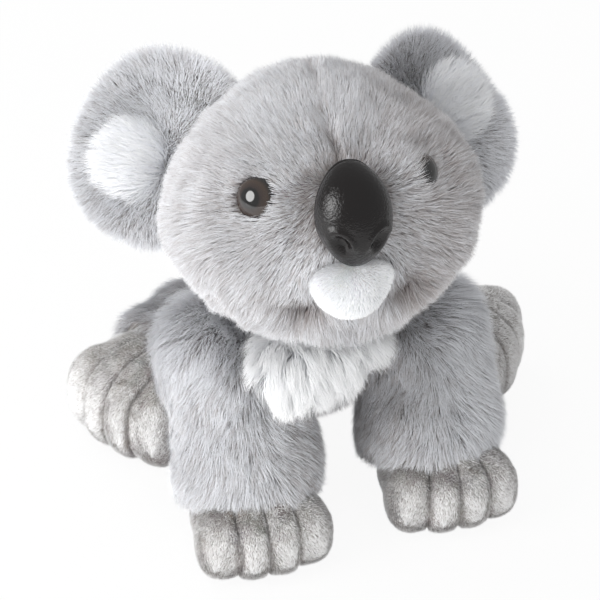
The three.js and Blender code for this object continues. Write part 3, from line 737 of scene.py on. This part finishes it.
# Each ear is a round flat bag of grey plush, lightly stuffed and sewn on edge to the head's side.
# A pad of white plush is sewn into its hollow front, and its long pile sweeps out over the rim.
# The left ear is a little smaller and sits a little nearer the head.
for side_name, side, ear_middle, ear_size in (
    ("right", -1, (-18, 0, 0), (42, 10, 45)), ("left", 1, (15, 0, -2), (40, 10, 43)),
):
    ear_place = head_place @ Matrix.Translation((side * 48, 18, 19)) @ (
        Matrix.Rotation(-side * math.radians(31), 4, "Y") @ Matrix.Rotation(side * math.radians(33), 4, "Z"))
    ear_skin = sewn_skin(f"{side_name}_ear_skin", [lobe(ear_middle, ear_size, blunt=0.85)], 2.2, 4)
    push(ear_skin.data, -5.5)
    points = points_of(ear_skin.data)
    flat = np.stack(((points[:, 0] - side * 18) / 42, points[:, 2] / 45), axis=1)
    out = np.linalg.norm(flat, axis=1)
    points[:, 1] += 2.5 - 7.5 * out ** 2 + 1.2 * np.sin(points[:, 2] / 9 + side) * out
    front = normals_of(ear_skin.data)[:, 1] < 0
    points[:, 1] += np.where(front, 3.0 * (1 - step(out, 0.35, 0.8)), 0)
    set_points(ear_skin.data, points)
    placed = np.array([ear_place @ Vector(p) for p in points])
    bare = inside(placed, [head_skin]) > 0.001
    radial = np.stack((flat[:, 0] * 1.1, np.zeros(len(out)), flat[:, 1]), axis=1)
    comb = unit(radial) * (0.8 + 0.5 * out)[:, None] + np.array((0, -0.35, 0)) * step(out, 0.6, 1.0)[:, None]
    comb[:, 2] -= 0.15
    # The left ear, turned from the main lamp, has its pile painted paler, as painted light.
    comb_skin(ear_skin, pile=1 - 0.2 * front * (out < 0.6), comb=comb,
              tone=np.clip(0.6 + 0.3 * (side > 0) + 0.3 * out + 0.6 * front * step(out, 0.75, 0.45), 0, 1),
              thick=np.where(bare, 0.0, 1.0))
    grow_pile(f"{side_name}_ear_fur", ear_skin, ear_place, f"{side_name}_ear", grey_pile, 50 + side,
              4.4, 6.8, width=0.25, tuft_size=4.0, tuft=0.1, tangle=0.3, mottle=0.5, wave=1.2, wave_size=10)
    lining_skin = sewn_skin(f"{side_name}_ear_lining_skin", [
        lobe((side * 27, -1.5, 4 * side - 5), (15, 4, 14), blunt=0.9)], 1.8, 3)
    points = points_of(lining_skin.data)
    flat = np.stack(((points[:, 0] - side * 18) / 42, points[:, 2] / 45), axis=1)
    points[:, 1] += 2.0 - 7.0 * (flat ** 2).sum(axis=1)
    set_points(lining_skin.data, points)
    placed = np.array([ear_place @ Vector(p) for p in points])
    bare = (inside(placed, [head_skin]) > 0.001) | (normals_of(lining_skin.data)[:, 1] > 0.3)
    sweep = np.stack((np.full(len(points), side * 1.0), np.full(len(points), -0.2), points[:, 2] / 40), axis=1)
    comb_skin(lining_skin, 1.0, unit(sweep) * 1.5, 0.6, np.where(bare, 0.0, 1.0))
    grow_pile(f"{side_name}_ear_lining_fur", lining_skin, ear_place, f"{side_name}_ear", white_pile,
              60 + side, 5.4, 12, width=0.3, lean=1.3, wave=1.6, wave_size=9, tangle=0.6, tuft=0.6, tuft_size=5)
    finish_skin(ear_skin, ear_place, f"{side_name}_ear", grey_backing, (f"{side_name}_ear",))
    finish_skin(lining_skin, ear_place, f"{side_name}_ear", white_backing,
                (f"{side_name}_ear_lining",))

# Legs are stuffed bags of long pile with a round end that beds into the body. Each ends at the
# wrist in a paw of short warm-grey pile, with four toes drawn in by three lines of stitches.
legs = {
    "foreleg": {
        "spine": [(0, 8, 20), (0, 0, 0), (0, -19, -30), (0, -27, -52)], "half_widths": [24, 32, 37, 28],
        "half_depths": [24, 31, 33, 26], "across": (1, 0, 0), "radius": 33, "joint": "shoulder", "height": 57,
        "wrist": (0, -22, -30), "wrist_direction": (0, -0.35, -1), "paw_at": (1.5, -33), "paw": (29, 26, 18.5),
        "toes_angle": 0, "comb": (0, -0.25, -1), "hump": (11, 8, 16), "spread": 1},
    "hind_leg": {
        "spine": [(-14, 4, 2), (0, 0, 0), (24, -12, -1), (45, -27, -2)], "half_widths": [20, 25, 27, 22],
        "half_depths": [20, 25, 25, 20], "across": (0, 1, 0), "radius": 29, "joint": "hip", "height": 30,
        "wrist": (22, -14, 0), "wrist_direction": (1, -0.55, 0), "paw_at": (32, -28), "paw": (32, 27, 25),
        "toes_angle": 58, "comb": (1.0, -0.6, -0.3), "hump": (3, 0, 4), "spread": 0},
}
for leg_name, leg in legs.items():
    for side_name, side in (("right", -1), ("left", 1)):
        mirror = np.array((side, 1, 1))
        joint = joints[f"{side_name}_{leg['joint']}"]
        leg_place = to_metres @ Matrix.Translation(joint)
        seed = 70 + 10 * len(leg_name) + side
        leg_skin = sewn_skin(f"{side_name}_{leg_name}_skin", [
            stuffed_form([np.array(p) * mirror for p in leg["spine"]], leg["half_widths"], leg["half_depths"], 3,
                         across=leg["across"]),
            lobe((0, 0, 0), (leg["radius"],) * 3)], 2.6, 3)
        push(leg_skin.data, -skin_depth)
        points = points_of(leg_skin.data)
        heading = unit(np.array(leg["wrist_direction"]) * mirror)
        past = (points - np.array(leg["wrist"]) * mirror) @ heading
        rounding = 2.5
        drawn_in = past - rounding * (1 - np.exp(-np.maximum(past, 0) / rounding))
        points -= heading * np.where(past > 0, drawn_in, 0)[:, None]
        upper = step(points[:, 2], -16, 26) * step(points[:, 0] * side, -22, 6)
        rise = np.array(leg["hump"]) * mirror * (1 - 0.5 * (side > 0)) * upper[:, None]
        points += rise + unit(points) * 1.3 * lumps(points + 40 * side, 18)[:, None]
        points[:, 2] = np.maximum(points[:, 2], 2.5 - leg["height"])
        set_points(leg_skin.data, points)
        placed = np.array([leg_place @ Vector(p) for p in points])
        bare = (inside(placed, [body_skin]) > 0.003) | (past > 3)
        bare |= (points[:, 2] < 4 - leg["height"])
        comb = np.broadcast_to(np.array(leg["comb"]) * mirror, points.shape)
        inner = step(points[:, 0] * side, 5, -20)
        comb = comb + np.array((side * -0.5, -0.4, 0.1)) * inner[:, None]
        comb[:, 0] += points[:, 0] / 37 * leg["spread"]
        comb += np.array((side * 0.6, -0.7, 0)) * step(points[:, 2], 2, 26)[:, None] * leg["spread"]
        tuft = near(points, (-side * 10, -42, leg["wrist"][2]), (9, 12, 10)) * leg["spread"]
        crest = step(points[:, 2], 18, 40) * leg["spread"]
        comb += np.array((side * 0.6, 0.2, 0.4)) * crest[:, None]
        # The pile is painted darker on each leg's inner side, as shade between the leg and the body, and paler, as
        # painted light, on the left legs, turned from the main lamp, and on the shoulders' tops, which the head and
        # ears shade. It is a little paler in the tuft over each forepaw.
        tone = 0.85 - (0.1 + 0.25 * leg["spread"]) * inner + 0.15 * (side > 0) + 0.1 * tuft + 0.3 * crest
        comb_skin(leg_skin, 1 - 0.2 * inner + 0.7 * tuft + 0.4 * crest, unit(comb) * 1.25, tone,
                  np.where(bare, 0.0, 1.0))
        grow_pile(f"{side_name}_{leg_name}_fur", leg_skin, leg_place, f"{side_name}_{leg_name}",
                  grey_pile, seed, 3.9, long_pile, width=0.28, wave=2.0, wave_size=12, tuft=0.45, tuft_size=4,
                  mottle=0.85)

        width, length, height = leg["paw"]
        paw_middle = (side * leg["paw_at"][0], leg["paw_at"][1], height - sole_press - leg["height"])
        paw_turn = Matrix.Rotation(side * math.radians(leg["toes_angle"]), 4, "Z")
        paw_place = leg_place @ Matrix.Translation(paw_middle) @ paw_turn
        fan_angle = 8
        shells = [lobe((0, 0, 0), leg["paw"], blunt=0.85)]
        for k in (-1.5, -0.5, 0.5, 1.5):
            shells.append(lobe((k * 0.42 * width, (0.2 * abs(k) / 1.5 - 0.6) * length, -0.1 * height),
                               (0.42 * width, 0.64 * length, 0.9 * height), blunt=0.85,
                               turn=math.radians(fan_angle * k)))
        if leg_name == "foreleg":
            shells.append(lobe((0, -0.45 * length, -0.25 * height),
                               (0.84 * width, 0.6 * length, 0.72 * height), blunt=0.7))
        paw_skin = sewn_skin(f"{side_name}_{leg_name}_paw_skin", shells, 1.1, 10)
        push(paw_skin.data, -1.2)
        points = points_of(paw_skin.data)
        stitch_creases = np.zeros(len(points))
        for k in (-1, 0, 1):
            fan = math.radians(fan_angle * k)
            c, s = math.cos(fan), math.sin(fan)
            off = (points[:, 0] - k * 0.4 * width) * c + (points[:, 1] + 0.4 * length) * s
            off = off + 0.9 * np.sin(points[:, 1] / 6 + k + side)
            stitch_creases += np.exp(-(off / 0.8) ** 2) * step(points[:, 1], 0.25 * length, -0.15 * length)
        stitch_creases = np.minimum(stitch_creases, 1)
        push(paw_skin.data, -2.2 * stitch_creases)
        points = points_of(paw_skin.data)
        ground = 1.0 - (height - sole_press)
        points[:, 2] = np.maximum(points[:, 2], ground)
        set_points(paw_skin.data, points)
        placed = np.array([paw_place @ Vector(p) for p in points])
        leg_skin.data.transform(leg_place)
        bare = inside(placed, [leg_skin]) > 0.001
        leg_skin.data.transform(leg_place.inverted())
        sole = step(points[:, 2], ground + 0.5, ground)
        comb = np.stack((points[:, 0] / width * 0.5, np.full(len(points), -0.8), np.full(len(points), -0.2)),
                        axis=1)
        # The nap along the stitch lines is painted darker, as shade in the creases between the toes.
        comb_skin(paw_skin, (1 - 0.4 * stitch_creases) * (1 - 0.6 * sole), comb * 0.6,
                  np.clip(0.85 - 0.85 * stitch_creases, 0, 1), np.where(bare, 0.0, 1.0))
        grow_pile(f"{side_name}_{leg_name}_paw_nap", paw_skin, paw_place, f"{side_name}_{leg_name}",
                  paw_pile, seed + 3, 7.0, 1.8, width=0.36, lean=2.0, wave=1.6, wave_size=6, tangle=0.4, tuft=0.05,
                  tuft_size=2.2, mottle=0.45, joints=2)
        finish_skin(leg_skin, leg_place, f"{side_name}_{leg_name}", grey_backing,
                    (f"{side_name}_{leg_name}_cover", f"{side_name}_{leg_name}_filling"))
        finish_skin(paw_skin, paw_place, f"{side_name}_{leg_name}", grey_backing,
                    (f"{side_name}_{leg_name}_paw",))

# The chest bib is a tongue of the longest white plush, sewn in under the chin. Its pile hangs in
# pointed tufts over the tops of the forelegs.
bib_skin = sewn_skin("chest_bib_skin", [
    stuffed_form([(-12, -12, 99), (-14, -34, 95), (-4, -36, 82)], [24, 28, 12], [9, 9, 6], 2.2)], 2.2, 2)
push(bib_skin.data, -3.0)
points = points_of(bib_skin.data)
bare = inside(np.array([toy_place @ Vector(p) for p in points]), [body_skin, head_skin]) > 0.001
fan = np.stack((0.1 + (points[:, 0] + 8) / 110, np.full(len(points), -0.35), np.full(len(points), -1.0)),
               axis=1)
comb_skin(bib_skin, 1.0, unit(fan) * 1.3, 0.9, np.where(bare, 0.0, 1.0))
grow_pile("chest_bib_fur", bib_skin, toy_place, "body", white_pile, 91, 7.0, 15, width=0.3,
          lean=1.5, wave=1.4, wave_size=8, tangle=0.35, tuft=1.8, tuft_size=8, mottle=0.4)
finish_skin(bib_skin, toy_place, "body", white_backing, ("chest_bib",))

# A white sheet of paper under and behind the toy, and nothing else in view.
paper, tree, shader = new_material("White backdrop paper")
shader.inputs["Base Color"].default_value = linear("f2f2f2")
shader.inputs["Roughness"].default_value = 0.9
glow = add(tree, "ShaderNodeEmission", {}, {"Color": (1, 1, 1, 1), "Strength": 1.0})
seen = add(tree, "ShaderNodeLightPath")
share_seen = add(tree, "ShaderNodeMath", {"operation": "MULTIPLY"},
                 {0: seen.outputs["Is Camera Ray"], 1: 0.93})
blend = add(tree, "ShaderNodeMixShader", {},
            {0: share_seen.outputs[0], 1: shader.outputs[0], 2: glow.outputs[0]})
tree.links.new(blend.outputs[0], tree.nodes["Material Output"].inputs["Surface"])
mesh = bpy.data.meshes.new("floor")
mesh.from_pydata([(-4, -4, -0.0002), (4, -4, -0.0002), (4, 4, -0.0002), (-4, 4, -0.0002)], [], [(0, 1, 2, 3)])
floor = new_object("floor", mesh)
mesh.materials.append(paper)

# Soft studio light: a main round lamp on the toy's right, a low one in front, a weak one above, a wide
# one behind, and an even white room. The room is white to the camera and dimmer as a light.
world = bpy.data.worlds.new("Studio")
bpy.context.scene.world = world
world.use_nodes = True
tree = world.node_tree
seen = add(tree, "ShaderNodeLightPath")
bright = add(tree, "ShaderNodeMath", {"operation": "MAXIMUM"},
             {0: seen.outputs["Is Camera Ray"], 1: seen.outputs["Is Transmission Ray"]})
room_light = 0.53
level = add(tree, "ShaderNodeMath", {"operation": "MULTIPLY_ADD"},
            {0: bright.outputs[0], 1: 1 - room_light, 2: room_light})
tree.links.new(level.outputs[0], tree.nodes["Background"].inputs["Strength"])
tree.nodes["Background"].inputs["Color"].default_value = (1, 1, 1, 1)

centre = Vector((-0.01, -0.01, 0.10))
for title, azimuth, elevation, distance, size, power in (
    ("key", -77, 22, 1.0, 0.6, 6.0), ("front", -22, 4, 1.2, 0.5, 4.5), ("top", -60, 65, 1.0, 0.6, 1.7),
    ("back", -160, 40, 1.3, 0.9, 5.0),
):
    lamp = bpy.data.lights.new(title, "AREA")
    lamp.shape, lamp.size, lamp.energy = "DISK", size, power
    holder = new_object(title, lamp)
    a, e = math.radians(azimuth), math.radians(elevation)
    back = Vector((math.sin(a) * math.cos(e), -math.cos(a) * math.cos(e), math.sin(e)))
    holder.location = centre + back * distance
    holder.rotation_euler = back.to_track_quat("Z", "Y").to_euler()
    holder.visible_glossy = title == "key"

# The camera looks down on the toy from its right front, as the photographer did.
camera = new_object("camera", bpy.data.cameras.new("camera"))
bpy.context.scene.camera = camera
camera.data.lens = 121.4
a, e = math.radians(-17), math.radians(34)
back = Vector((math.sin(a) * math.cos(e), -math.cos(a) * math.cos(e), math.sin(e)))
camera.location = (Vector((-20.1, -20.2, 116.2)) + shift + back * 850) / 1000
roll = Matrix.Rotation(math.radians(1.2), 4, "Z")
camera.rotation_euler = (back.to_track_quat("Z", "Y").to_matrix().to_4x4() @ roll).to_euler()
bpy.context.scene.view_settings.view_transform = "Standard"
